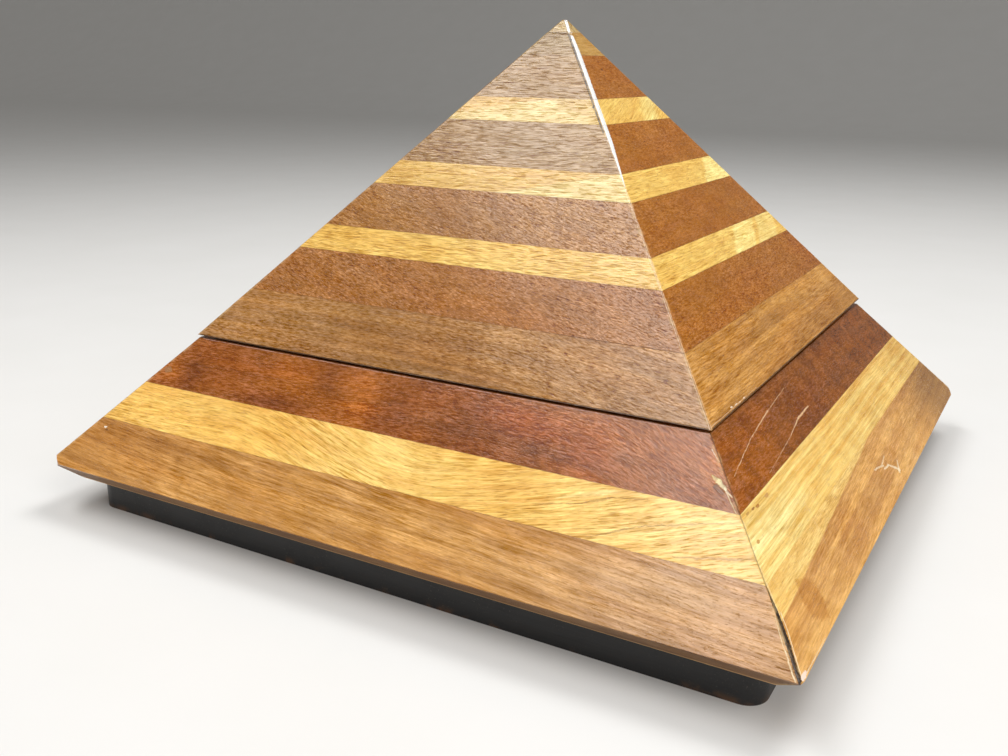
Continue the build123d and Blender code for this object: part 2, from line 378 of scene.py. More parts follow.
# bands: soft ripples across the grain, partly mottle figure and partly painted sheen
bands = times(minus(fade(ripple, 0.36, 0.64), 0.5), given["Ripple"])
lift = times_plus(threads, 3.0, bands)
lift = times_plus(times(pale, 0.8), given["Painted glints"], lift)
lift = times_plus(times(hollows, -0.45), given["Pores"], lift)
lift = larger(lift, given["Deepest"])
paler = move("SCALE", (0.0, 0.03, 0.09), lift)
deeper = move("MULTIPLY_ADD", (1.0, 1.3, 1.5), lift, (1.0, 1.0, 1.0))
color = move("MAXIMUM", move("MULTIPLY_ADD", color, deeper, paler), ORIGIN)
give(made, Color=color, Hollows=hollows, Tone=tone, Threads=threads)

# %% [markdown]
# ## Where each strip lies
# A strip's material has to know its outer face and its two long edges, so that glue lines and marks fall in place.
# They could be copied from the drawing as a table, but the strip's own mesh already holds them: it is turned
# back by the panel's side and slope, and its lowest, highest and outermost points are read.

# %% The strip's face and edges, measured from its own mesh
# Slope and droop in radians, and the panel's length up the slope in millimetres.
PANELS = {"lid": (math.radians(49.08), math.radians(-0.35), 166.09), "base": (math.radians(47.83), 0.0, 65.84)}
SIDES = {"front": 0.0, "right": math.radians(90), "back": math.radians(180), "left": math.radians(270)}
FACE_DEPTH = 0.3  # points less than this far in, in millimetres, belong to the outer face


def panel_measures(name, side):
    """The strip's outer face, lowest and highest place up the slope, in millimetres."""
    slope, droop, _ = PANELS[name.split("_")[0]]
    back = Matrix.Rotation(-slope, 3, "X") @ Matrix.Rotation(-SIDES[side], 3, "Z")
    pins, lift = Vector(PINS), Matrix.Rotation(droop, 3, "X")
    points = [back @ (lift @ (vertex.co * 1000 - pins) + pins) for vertex in nodes[name].data.vertices]
    face = max(p.z for p in points)
    outer = [p.y for p in points if p.z > face - FACE_DEPTH]
    return face, min(outer), max(outer)


print("lid front rim strip", [round(v, 2) for v in panel_measures("lid_front_rim_strip", "front")])

# %% [markdown]
# ## Seams, varnish and wear
# A strip is bare wood inside and varnished outside. Its glue lines show as hairlines, the mitres at the corners
# are a little open, and hands have worn the varnish thin along the corners. Each of these could be painted,
# or found from the shape with a pointiness or bevel node, but those don't leave Blender with the model.
# Here each one is a distance that the panel coordinates already hold: to the mitre, to the strip's two edges,
# and down from the face. One input darkens the cut edge between the face and the inside: painted shade on that edge.

# %% Group: finish of a panel strip
given, made = group(
    "strip_finish",
    {"Color": BLACK, "Hollows": 0.0, "Threads": 0.0, "Place": ORIGIN, "Mitre": 0.0,
     "Low": 0.0, "High": 0.0, "Seam": 0.5, "Seam width": 0.30, "Wear": 0.5, "Seed": 0.0,
     "Gloss": 0.18, "Painted edge shade": 0.0, "Glue": 1.0},
    {"Color": BLACK, "Roughness": 0.5, "Relief": 0.0})
parts = split(given["Place"])
spot = move("ADD", given["Place"], vector(times(given["Seed"], 7.3), given["Seed"], 3.1))
outside = fade(parts[2], 1.6, 0.5)
inside = fade(parts[2], 10.4, 11.4)
broken = noise(spot, 0.25, 3.0, 0.6)
ragged = times(minus(noise(spot, 0.9), 0.5), 0.5)

to_edge = calc("MINIMUM", minus(parts[1], given["Low"]), minus(given["High"], parts[1]))
to_glue = plus(to_edge, times(ragged, 0.3))
glue = times(fade(to_glue, 0.34, 0.02), fade(broken, 0.3, 0.65, 0.05, 0.5))
glue = times(glue, given["Glue"])
to_mitre = plus(given["Mitre"], times(ragged, 0.35))
seam = fade(calc("ABSOLUTE", to_mitre), given["Seam width"], times(given["Seam width"], 0.4))
seam = times(seam, given["Seam"])
worn = fade(minus(to_mitre, given["Seam width"]), 1.2, 0.0)
worn = times(worn, fade(broken, 0.42, 0.62))
worn = times(worn, given["Wear"], clamp=True)

color = blend(times(inside, 0.3), given["Color"], shade(216, 186, 140))
cut = times(minus(1.0, outside), minus(1.0, inside))
# painted shade on the cut edge between the face and the inside
color = blend(times(cut, given["Painted edge shade"]), color, shade(62, 38, 22))
color = blend(times(worn, 0.55), color, shade(236, 206, 150))
color = blend(times(glue, outside), color, shade(96, 58, 28))
color = blend(times(seam, outside), color, shade(38, 24, 16))

smears = noise(spot, (0.03, 0.05, 0.05), 4.0, 0.6, 0.5)
rough = plus(given["Gloss"], fade(smears, 0.35, 0.75, 0.0, 0.10))
rough = times_plus(larger(worn, seam), 0.25, rough)
rough = times_plus(given["Hollows"], 0.12, rough)
rough = times_plus(minus(1.0, outside), 0.35, rough, clamp=True)

relief = times_plus(noise(spot, (0.02, 0.035, 0.035)), 1.2, times(noise(spot, 0.55), 0.05))
relief = times_plus(given["Threads"], 0.5, relief)
relief = minus(relief, times(given["Hollows"], 0.40))
relief = minus(relief, times(seam, 0.8))
give(made, Color=color, Roughness=rough, Relief=relief)

# %% [markdown]
# ## Knocks, fillings and figure
# Years of use left two long pale scratches and some crackle on the right side, a white nick near the left
# corner, and filled pin holes beside the mitres. Thin meshes could lie on the wood for these, but they would
# cast shadows of their own. A mark has no thickness, so each is a mask in the strip's material:
# `stroke` is the distance to a straight run, and `spot` to a ragged oval.
# `sheen` is painted sheen, not damage: where fibres lean, a pale strip flashes light on one side of a slanted line,
# and that flash is painted into the colour.

# %% Group: stroke
FLAT = (1.0, 1.0, 0.0)
given, made = group(
    "stroke", {"Place": ORIGIN, "From": ORIGIN, "To": ORIGIN, "Width": 0.3, "End width": 0.3, "Waver": 0.8,
               "Broken": 0.0, "Soft": 0.3, "Taper": 0.0}, {"Mask": 0.0})
flat = move("MULTIPLY", given["Place"], FLAT)
jitter = add("TexNoise", {"Vector": flat, "Scale": 0.35, "Detail": 3.0}).outputs["Color"]
jitter = move("MULTIPLY", move("SUBTRACT", jitter, (0.5, 0.5, 0.5)), FLAT)
flat = move("ADD", flat, move("SCALE", jitter, given["Waver"]))
run = move("SUBTRACT", given["To"], given["From"])
reached = move("SUBTRACT", flat, given["From"])
share = ratio(move("DOT_PRODUCT", reached, run), move("DOT_PRODUCT", run, run), clamp=True)
off = move("LENGTH", move("SUBTRACT", reached, move("SCALE", run, share)))
width = times_plus(minus(given["End width"], given["Width"]), share, given["Width"])
middle = times(times(share, minus(1.0, share)), 4.0)
narrowed = times_plus(minus(middle, 1.0), given["Taper"], 1.0)
width = times_plus(width, narrowed, 0.02)
rough_edge = times(minus(noise(given["Place"], 1.3, 3.0, 0.7), 0.5), width)
inner = minus(width, calc("MINIMUM", times(width, 0.9), given["Soft"]))
mask = fade(plus(off, rough_edge), width, inner)
gaps = fade(noise(given["Place"], 0.45, 3.0, 0.6), 0.36, 0.56)
mask = times(mask, times_plus(minus(gaps, 1.0), given["Broken"], 1.0))
give(made, Mask=mask)

# %% Groups: spot and sheen
given, made = group(
    "spot", {"Place": ORIGIN, "At": ORIGIN, "Size": (1.0, 1.0, 1.0), "Ragged": 0.5, "Soft": 0.17}, {"Mask": 0.0})
off = move("SUBTRACT", move("MULTIPLY", given["Place"], FLAT), given["At"])
off = move("LENGTH", move("DIVIDE", off, given["Size"]))
edge = minus(noise(given["Place"], 0.7, 3.0, 0.6), 0.5)
off = times_plus(edge, times(given["Ragged"], 2.0), off)
give(made, Mask=fade(off, plus(1.0, given["Soft"]), minus(1.0, given["Soft"])))

# sheen: a painted flash of light on one side of a slanted line
given, made = group(
    "sheen", {"Place": ORIGIN, "At": ORIGIN, "Slant": 0.6, "Width": 14.0, "Soft": 3.0}, {"Mask": 0.0})
parts = split(move("SUBTRACT", given["Place"], given["At"]))
ripple = noise(given["Place"], (0.08, 0.25, 0.25), 3.0)
past = times_plus(times(parts[1], -1.0), given["Slant"], parts[0])
past = times_plus(minus(ripple, 0.5), 9.0, past)
into = fade(past, times(given["Soft"], -1.0), given["Soft"])
out = fade(past, plus(given["Width"], given["Soft"]), minus(given["Width"], given["Soft"]))
give(made, Mask=times(into, out))

# %% [markdown]
# ## Four woods
# Pale strips are a straw-coloured hardwood with few pores. The brown strips on the lid have a cloudy ribbon
# figure and many short pores. The rim and foot strips are streaky brown, and the base's top strips are redder.
# One material for each wood would put the same board everywhere, so each strip gets a material of its own,
# made by one function from the wood's values, the strip's number as its seed, and what is special to it.

# %% The woods' own values; what is left out stays as the group has it
WOODS = {
    "pale": {
        **tones((244, 204, 106), (214, 156, 64)), "Streak": 2.4, "Streak depth": 0.35, "Figure": 9,
        "Figure depth": 0.2, "Thread": 8, "Fibre": 0.34, "Pore length": 12, "Pore gap": 0.9, "Painted glints": 0.1,
        "Pores": 0.6},
    "brown": {
        **tones((172, 108, 38), (126, 72, 20)), "Streak": 3, "Streak depth": 0.2, "Figure": 8,
        "Figure depth": 0.3, "Thread": 2.2, "Fibre": 0.5, "Pore length": 7, "Pores": 0.4, "Painted glints": 0.35},
    "streaky": {
        **tones((206, 148, 74), (142, 92, 38)), "Streak": 3.8, "Streak depth": 0.6, "Figure": 16,
        "Figure depth": 0.2, "Thread": 4, "Fibre": 0.46, "Pore length": 9, "Pores": 0.4, "Painted glints": 0.25},
    "red": {
        **tones((158, 90, 28), (104, 58, 18)), "Streak": 4, "Streak depth": 0.25, "Figure": 11,
        "Figure depth": 0.4, "Thread": 3, "Fibre": 0.42, "Pore length": 7, "Pores": 0.25, "Painted glints": 0.5,
        "Ripple": 0.12, "Deepest": -0.24},
}
print("woods", list(WOODS))

# %% One mark, and the marks of one strip
def mark_mask(kind, place, at, values, top):
    """The mask of one mark, from the group that has its shape."""
    if kind in ("stroke", "vein"):
        inputs = dict(zip(("Width", "End width", "Waver", "Broken"), values[2:]))
        inputs |= {"From": at, "To": (values[0], top - values[1], 0.0)}
        inputs |= {"Soft": 2.0, "Taper": 1.0} if kind == "vein" else {}
        return place_group("stroke", {"Place": place, **inputs})["Mask"]
    if kind == "sheen":
        inputs = dict(zip(("Slant", "Width", "Soft"), values))
        return place_group("sheen", {"Place": place, "At": at, **inputs})["Mask"]
    inputs = {"Size": (values[0], values[1], 1.0), "Ragged": values[2], "Soft": 0.8 if kind == "patch" else 0.17}
    return place_group("spot", {"Place": place, "At": at, **inputs})["Mask"]


def strip_marks(name, side, place, low, high):
    """The marks of this strip, each with its mask and colour. Strokes and spots run on over a joint: damage, painted
    highlights and painted shadow lines. Veins, patches and sheen belong to one board: figure and painted sheen.
    They tint the wood, and the grain shows through."""
    part = name.split("_")[0]
    lowest = f"lid_{side}_rim_strip" if part == "lid" else f"base_{side}_bottom_strip"
    top = panel_measures(lowest, side)[1] + PANELS[part][2]
    for kind, along, down, values, color, strength in MARKS.get((part, side), []):
        end = values[1] if kind == "stroke" else down
        spread = 1.0 if kind == "stroke" else values[1] * 1.3 if kind == "spot" else 0.0
        if min(down, end) - spread < top - low and max(down, end) + spread > top - high:
            mask = mark_mask(kind, place, (along, top - down, 0.0), values, top)
            yield kind, times(mask, strength), color


# %% One strip's material
def sapwood(color, panel, high, start, rise, seed):
    """Pale wood above a slanted, wandering line, where the strip was sawn near the bark."""
    edge = times(minus(start, panel["Along"]), rise)
    edge = times_plus(noise(panel["Place"], (0.03, 0.1, 0.1)), 2.0, edge)
    below = minus(minus(high, panel["Up"]), edge)
    pale = {**WOODS["pale"], "Place": panel["Place"], "Seed": seed, "Light": shade(244, 208, 128),
            "Fibre": 0.24, "Pores": 0.25}
    return blend(fade(below, 0.7, -0.1), color, place_group("wood", pale)["Color"])


def strip_material(name, wood, side, seed, special):
    """A strip's wood, its own marks and its finish. `Mirror` is how much of the lamps its varnish gives back."""
    slope, droop, _ = PANELS[name.split("_")[0]]
    face, low, high = panel_measures(name, side)
    material, skin = new_material(name + "_wood")
    skin.inputs["Specular IOR Level"].default_value = special.pop("Mirror", 0.5)
    near_bark = special.pop("Sapwood", None)
    in_finish = {key: special.pop(key) for key in ("Seam", "Painted edge shade", "Glue") if key in special}
    panel = place_group("panel_coordinates", {"Turn": SIDES[side], "Slope": slope, "Droop": droop, "Face": face})
    grain = place_group("wood", {**WOODS[wood], **special, "Place": panel["Place"], "Seed": seed})
    color = grain["Color"]
    if near_bark:
        color = sapwood(color, panel, high, *near_bark, seed)
    dents = None
    for kind, mask, mark_color in strip_marks(name, side, panel["Place"], low, high):
        color = blend(mask, color, mark_color, "MIX" if kind in ("stroke", "spot") else "MULTIPLY")
        if kind == "stroke":
            dents = mask if dents is None else larger(dents, mask)
    finish = place_group("strip_finish", {
        "Color": color, "Hollows": grain["Hollows"], "Threads": grain["Threads"], "Place": panel["Place"],
        "Mitre": panel["Mitre"], "Low": low, "High": high, "Seed": seed, **in_finish})
    relief = finish["Relief"] if dents is None else minus(finish["Relief"], times(dents, 0.5))
    link(skin, relief=relief, bump=0.0002, Base_Color=finish["Color"], Roughness=finish["Roughness"])
    return material


# %% [markdown]
# ## Where the marks lie
# Each mark is given in millimetres on its panel: along it from the middle, to the right as seen from outside,
# and down the slope from its top edge. Damage, painted highlights and painted shadow lines have their own colour.
# Figure and painted sheen have a tint that multiplies the wood.
# The places could be drawn at random, but then a knock would lie where nothing knocks. So they are listed: the
# scratches run level where a hand slides, the chips and gaps keep to the mitres and lower edges, the painted
# highlights to the lid's corner and edges, and the painted shadow lines to the lid's lower edge.

# %% Colours and tints of the marks
def tint(red, green, blue):
    return (red, green, blue, 1.0)


# the gap colour darkens open joints, and under the lid's lower edge it is a painted shadow line
SCRATCH, KNOT, GAP_AND_SHADOW_LINE = shade(232, 190, 140), shade(84, 46, 22), shade(30, 20, 18)
# the white of the lid's corner is a painted highlight, the glint along it
CHIP, PAINTED_CORNER_HIGHLIGHT, TORN = shade(248, 226, 186), shade(238, 242, 242), shade(84, 58, 38)
# the rubbed colour is a worn edge with a painted highlight along it
RUBBED_AND_HIGHLIT, NIBBLED = shade(240, 206, 172), shade(248, 230, 206)
# the flash tint is pale figure and painted sheen, a flash of light painted into the colour
PALE_FIGURE_AND_SHEEN, SHADOW, SPLIT = tint(1.10, 1.34, 1.95), tint(0.80, 0.68, 0.50), tint(0.42, 0.34, 0.24)
ORANGE, RED, DARK = tint(1.40, 1.36, 0.95), tint(1.16, 0.90, 0.70), tint(0.52, 0.44, 0.50)


def marks(kind, *rows):
    """Marks of one kind. A row is along, down, the kind's own values, the colour and how strongly it shows."""
    return [(kind, *row) for row in rows]


def trail(color, along, down, *reached):
    """Strokes end to end. Each gives its far end, its two widths, waver, gaps and how strongly it shows."""
    rows = []
    for *values, strength in reached:
        rows.append(("stroke", along, down, values, color, strength))
        along, down = values[:2]
    return rows


# %% The base's right panel: two scratches, pin holes, a star of crackle, the open mitre
MARKS = {}
MARKS["base", "right"] = (
    marks("patch",
        (-98, 12, (34, 16, 0.3), tint(1.3, 1.3, 1.25), 0.9), (-118, 34, (34, 12, 0.3), PALE_FIGURE_AND_SHEEN, 0.7),
        (130, 54, (44, 20, 0.3), tint(0.46, 0.4, 0.34), 0.95), (116, 33, (24, 12, 0.3), SHADOW, 0.5),
        (-56, 50, (24, 9, 0.6), SHADOW, 0.35))
    + trail(SCRATCH, -112.2, 14.4,
        (-101.5, 12.5, 0.2, 0.26, 0.6, 0.8, 0.7), (-85, 9.7, 0.24, 0.22, 0.6, 0.7, 0.8),
        (-61, 7.2, 0.24, 0.38, 0.6, 0.5, 0.85), (-35.8, 5.3, 0.3, 0.16, 0.6, 0.7, 0.6))
    + trail(SCRATCH, -90, 22,
        (-56.9, 18.9, 0.14, 0.26, 0.7, 0.9, 0.5), (-42.5, 16.7, 0.26, 0.42, 0.5, 0.4, 0.8),
        (-26.9, 16.3, 0.52, 0.4, 0.5, 0.3, 0.9))
    + marks("spot",
        (-114.8, 25.2, (1.2, 0.42, 0.6), shade(150, 92, 34), 0.8),
        (-111.1, 25.7, (1.3, 0.5, 0.6), shade(170, 104, 34), 0.8),
        (-119.8, 24.9, (1.3, 0.4, 0.7), shade(170, 118, 60), 0.6),
        (-101.7, 25.7, (1.8, 0.6, 0.7), shade(188, 136, 84), 0.6),
        (-124.7, 32.6, (1.2, 0.6, 0.5), shade(198, 136, 50), 0.8))
    + trail(SCRATCH, -81, 36.7, (-87, 51, 0.35, 0.25, 1.2, 0.6, 0.35))
    + marks("vein", (-120, 48, (-115.5, 64, 8, 8, 1, 0), SHADOW, 0.8))
    + trail(CHIP, -10.3, 51.7, (0.8, 53.9, 0.45, 0.5, 0.9, 0.3, 0.7))
    + trail(CHIP, -0.8, 55, (5.8, 55.6, 0.5, 0.55, 0.9, 0.3, 0.8), (13.1, 60.6, 0.55, 0.8, 0.9, 0.3, 0.85))
    + trail(CHIP, 11.4, 61.1, (17.5, 57.8, 0.8, 0.4, 0.9, 0.3, 0.75))
    + trail(CHIP, -0.8, 53.1, (8.1, 52.2, 0.45, 0.3, 0.9, 0.3, 0.6))
    + trail(CHIP, -135.3, 41.6, (-140.2, 50, 0.25, 0.3, 0.4, 0.3, 0.7))
    + trail(CHIP, -138.8, 50, (-142.8, 55.8, 0.35, 0.35, 0.6, 0.4, 0.8))
    + trail(CHIP, -143, 55.8, (-151, 65.2, 0.35, 0.4, 0.4, 0.2, 0.85))
    + trail(GAP_AND_SHADOW_LINE, -136.2, 41.6,
        (-140.9, 49.8, 0.14, 0.8, 0.3, 0, 0.95), (-144.9, 55.8, 0.8, 0.85, 0.5, 0, 0.95),
        (-152, 65.4, 0.85, 0.3, 0.3, 0, 0.95))
    + trail(CHIP, -148, 65.3, (-126, 65.4, 0.3, 0.12, 0.3, 0.5, 0.7))
    + marks("spot", (-149, 64.9, (2.6, 0.7, 0.9), shade(250, 226, 212), 0.85)))

# %% The base's front panel: clouds of colour and painted sheen, split grain, a mended corner, a nick, a painted highlight on the top edge, the open mitre
MARKS["base", "front"] = (
    marks("patch",
        (-103, 17, (6, 9, 0.5), DARK, 0.6), (-84, 9, (16, 12, 0.5), DARK, 0.35),
        (-64, 7, (22, 8, 0.5), ORANGE, 0.3), (-58, 21, (14, 4.5, 0.7), DARK, 0.7),
        (-38, 9, (5, 5.5, 0.6), DARK, 0.4), (-20, 12, (7, 13, 0.8), ORANGE, 0.7),
        (-3, 14, (9, 12, 0.6), DARK, 0.5), (24, 15, (14, 12, 0.6), DARK, 0.5),
        (48, 9, (15, 5, 0.6), RED, 0.7), (46, 19, (26, 6, 0.6), DARK, 0.45), (72, 14, (7, 9, 0.6), RED, 0.5),
        (-130, 52, (40, 16, 0.3), SHADOW, 0.55), (-92, 48, (36, 5, 0.5), SHADOW, 0.4),
        # the pale patch in the middle and the bluish patch at the right end of the foot strip are painted sheen
        (0, 33, (30, 11, 0.5), PALE_FIGURE_AND_SHEEN, 0.45), (118, 33, (44, 14, 0.3), PALE_FIGURE_AND_SHEEN, 0.4),
        (44, 52, (60, 8, 0.6), tint(1.12, 1.16, 1.2), 0.8), (112, 55, (50, 22, 0.3), tint(0.98, 1.1, 1.7), 0.8))
    + marks("vein",
        (58, 35.4, (76, 31, 0.5, 0.6, 1.2, 0.3), SPLIT, 0.7), (74, 31.6, (86, 26.6, 0.6, 0.7, 1.4, 0.2), SPLIT, 0.8),
        (84, 27.4, (98, 24.6, 0.5, 0.5, 1.2, 0.3), SPLIT, 0.6), (66, 31.4, (88, 24, 1.5, 1.5, 1, 0), PALE_FIGURE_AND_SHEEN, 0.7),
        (80, 41.4, (98, 33, 0.5, 0.6, 1.6, 0.2), SPLIT, 0.7), (94, 34.4, (126, 25.6, 0.6, 0.5, 1.4, 0.3), SPLIT, 0.6),
        (84, 43.6, (130, 27.6, 2.2, 1.8, 1.2, 0), PALE_FIGURE_AND_SHEEN, 0.8),
        (106, 41.2, (136, 34.8, 0.7, 0.6, 1.4, 0.2), SPLIT, 0.7),
        (104, 42.4, (142, 37.8, 1.6, 1.8, 0.8, 0), PALE_FIGURE_AND_SHEEN, 0.8))
    + trail(shade(80, 72, 62), 114.6, 16.5, (117, 18.2, 0.8, 0.8, 1.6, 0.4, 0.6))
    + trail(shade(206, 196, 150), 112.8, 13.6, (115.2, 14.7, 0.4, 1.1, 1.6, 0.6, 0.6))
    + trail(shade(218, 208, 168), 115.2, 14.7, (117.4, 16.6, 1.1, 0.7, 1.6, 0.6, 0.75))
    + trail(shade(238, 224, 190), 117.4, 16.6, (120.4, 18.8, 0.5, 0.3, 1, 0.6, 0.75))
    + trail(shade(236, 220, 224), 110.2, 5, (113.6, 8.6, 0.3, 0.24, 0.8, 0.6, 0.7))
    + trail(CHIP, 117.6, 16.8, (122.8, 23.3, 0.34, 0.3, 0.5, 0.4, 0.7))
    + marks("patch", (113, 9.5, (3.6, 7.5, 0.6), ORANGE, 0.8))
    # painted highlight: the pale line where light catches the worn top edge of the base
    + trail(shade(226, 186, 172), -106, 0.35, (107.5, 0.35, 0.22, 0.26, 0.3, 0.7, 0.6))
    + marks("spot", (-115.6, 16.4, (1.9, 1.5, 0.7), shade(140, 112, 90), 0.55))
    + marks("patch", (-112, 16, (6, 3.5, 0.8), ORANGE, 0.7))
    + marks("spot", (-132.2, 46, (0.8, 0.45, 1), shade(246, 240, 226), 0.9), (-130.9, 46.9, (0.8, 0.5, 0.6), KNOT, 0.6))
    + trail(CHIP, 141, 50, (146, 58.4, 0.14, 0.36, 0.9, 0.6, 0.8), (150.4, 65.5, 0.36, 0.36, 0.8, 0.4, 0.85))
    + trail(GAP_AND_SHADOW_LINE, 136.3, 41.6, (147.2, 58.4, 0.14, 0.5, 0.4, 0, 0.95), (151.8, 65.6, 0.5, 0.66, 0.3, 0, 0.95)))

# %% The lid's front panel: the thin end of the painted corner highlight, painted slanted sheen, a painted shadow line along the lower edge
MARKS["lid", "front"] = (
    # painted highlight: the white glint down the lid's front corner
    trail(PAINTED_CORNER_HIGHLIGHT, 0.9, 1.6, (4.8, 8, 0.65, 0.6, 0.1, 0, 0.9))
    + trail(PAINTED_CORNER_HIGHLIGHT, 5.9, 9.6, (37.2, 57, 0.3, 0.26, 0.2, 0, 0.85))
    # a dark open joint beside the corner, with painted shade on its shaded side
    + trail(shade(40, 40, 52), 4.9, 9, (36.2, 57, 0.5, 0.4, 0.3, 0.3, 0.9))
    + marks("spot", (28.2, 45, (0.5, 0.9, 0.4), GAP_AND_SHADOW_LINE, 0.9))
    + trail(TORN, -5.2, 8.2, (0.4, 8.6, 0.26, 0.24, 0.8, 0.3, 0.8), (5.4, 9, 0.24, 0.3, 0.5, 0, 0.8))
    # worn corner with a painted highlight down it
    + trail(shade(240, 212, 186), 64, 98.6, (108.2, 165.8, 0.18, 0.24, 0.3, 0.5, 0.6))
    # painted shadow line: the gap under the lid's lower edge, painted dark
    + trail(GAP_AND_SHADOW_LINE, -107.6, 165.9, (107.6, 165.9, 0.42, 0.3, 0.3, 0, 0.8))
    # painted sheen: flashes of light on the pale strips, and painted shade on the dark side of one
    + marks("sheen",
        (19.8, 82.1, (4, 90, 1.2), PALE_FIGURE_AND_SHEEN, 1), (-29.4, 48.8, (5.5, 200, 2), PALE_FIGURE_AND_SHEEN, 0.9),
        (12.2, 44.2, (-2.7, 60, 1.6), SHADOW, 0.6))
    + marks("patch",
        # the bluish pale patch in the middle of the brown strip is painted sheen
        (44, 114, (18, 8, 0.5), SHADOW, 0.35), (0, 64, (20, 14, 0.5), tint(1.02, 1.12, 1.5), 0.8),
        (-46, 66, (18, 14, 0.5), SHADOW, 0.45), (-20, 98, (24, 14, 0.5), tint(0.86, 0.86, 0.92), 0.8),
        (30, 82, (14, 9, 0.5), tint(0.88, 0.88, 0.84), 0.6), (-90, 156, (24, 16, 0.5), tint(1.14, 1.16, 1.2), 0.7))
    + marks("vein", (-56, 148, (42, 163, 6, 7, 1, 0), SHADOW, 0.5))
    # the small pale patch at the right end of the rim is painted sheen
    + marks("patch", (-24, 161, (36, 4, 0.5), SHADOW, 0.35), (86, 151, (8, 7, 0.5), tint(1.12, 1.16, 1.25), 0.7))
    + trail(KNOT, 46, 141.8, (95, 141.8, 0.16, 0.18, 0.3, 0.5, 0.6)))

# %% The lid's right panel: the painted white corner highlight, chips at the lower edge, three painted flashes of sheen and a curl
MARKS["lid", "right"] = (
    # painted highlight: the white glint down the lid's front corner, on the right panel
    trail(PAINTED_CORNER_HIGHLIGHT, -0.9, 1.4, (-3.9, 7.6, 1.1, 0.95, 0.1, 0, 0.95))
    + trail(PAINTED_CORNER_HIGHLIGHT, -6, 10.4,
        (-11.8, 20, 0.85, 1.28, 0.1, 0, 0.95), (-37.9, 60, 1.28, 1.4, 0.1, 0, 0.95),
        (-52.2, 80, 1.4, 0.2, 0.1, 0, 0.95))
    # worn corner with a painted highlight down it
    + trail(RUBBED_AND_HIGHLIT, -52.2, 80, (-108, 165.6, 0.22, 0.24, 0.3, 0.7, 0.6))
    + marks("spot",
        (-86.6, 164.7, (0.9, 0.3, 0.9), NIBBLED, 0.75), (-82.3, 165, (1.3, 0.22, 0.9), NIBBLED, 0.7),
        (-78.9, 165.2, (0.8, 0.22, 0.9), NIBBLED, 0.7), (-74, 165.1, (0.9, 0.3, 0.9), NIBBLED, 0.75))
    # worn lower edge with a painted highlight
    + trail(RUBBED_AND_HIGHLIT, -108, 165.2, (-60, 165.2, 0.16, 0.1, 0.3, 0.6, 0.6))
    # painted shadow line: the gap under the lid's lower edge, painted dark
    + trail(GAP_AND_SHADOW_LINE, -107.6, 165.9, (107.6, 165.9, 0.34, 0.34, 0.3, 0, 0.8))
    + marks("spot", (-0.8, 27.2, (0.8, 0.45, 0.5), KNOT, 0.8), (-2.4, 30.2, (0.7, 0.4, 0.5), KNOT, 0.7))
    + marks("patch", (100, 131, (26, 14, 0.5), tint(0.96, 0.8, 0.62), 0.7), (30, 161, (60, 5, 0.5), SHADOW, 0.35))
    # painted sheen, here and below: flashes of light on the pale strips
    + marks("sheen",
        (12, 114, (1.34, 26, 2.4), tint(1.18, 1.46, 2.2), 1), (44, 114, (1.3, 26, 2.4), tint(1.14, 1.4, 2.1), 0.8))
    + marks("vein",
        (42, 107.8, (27, 119.6, 1.6, 1.6, 1, 0), SHADOW, 0.9), (52, 108, (37, 118.6, 1.2, 1.2, 1, 0), SHADOW, 0.7),
        (-20, 117, (14, 110, 1.6, 1.6, 1.5, 0), SHADOW, 0.4))
    + marks("sheen", (33, 80, (1.2, 30, 2), tint(1.16, 1.42, 2.1), 1))
    + marks("vein", (35, 73.6, (25, 88, 1.6, 1.6, 1.5, 0), SHADOW, 0.6))
    + marks("sheen", (12, 47, (0.9, 14, 2.5), PALE_FIGURE_AND_SHEEN, 0.8))
    + marks("vein",
        (9.4, 40.6, (5.6, 47.6, 0.9, 0.9, 1, 0), SHADOW, 0.8), (6.6, 46, (-6.6, 52, 0.9, 0.9, 1.4, 0.2), SHADOW, 0.8)))

# %% The two far panels of the lid: painted sheen on their pale strips
MARKS["lid", "back"] = marks("sheen", (-24, 80, (0.6, 24, 3.5), PALE_FIGURE_AND_SHEEN, 0.5), (30, 114, (-0.7, 24, 4), PALE_FIGURE_AND_SHEEN, 0.5))
MARKS["lid", "left"] = marks("sheen", (5, 114, (-0.8, 26, 4), PALE_FIGURE_AND_SHEEN, 0.5), (-18, 47, (0.8, 12, 3), PALE_FIGURE_AND_SHEEN, 0.5))
print("marks", {panel: len(rows) for panel, rows in MARKS.items()})

# %% [markdown]
# ## Dressing the strips
# No two boards are alike: the upper strips at the front are greyer, and those on the right darker and less
# glossy. A strip that isn't named here keeps its wood's own values. Random values would be shorter to write,
# but neighbours would then differ more than boards from one plank do.

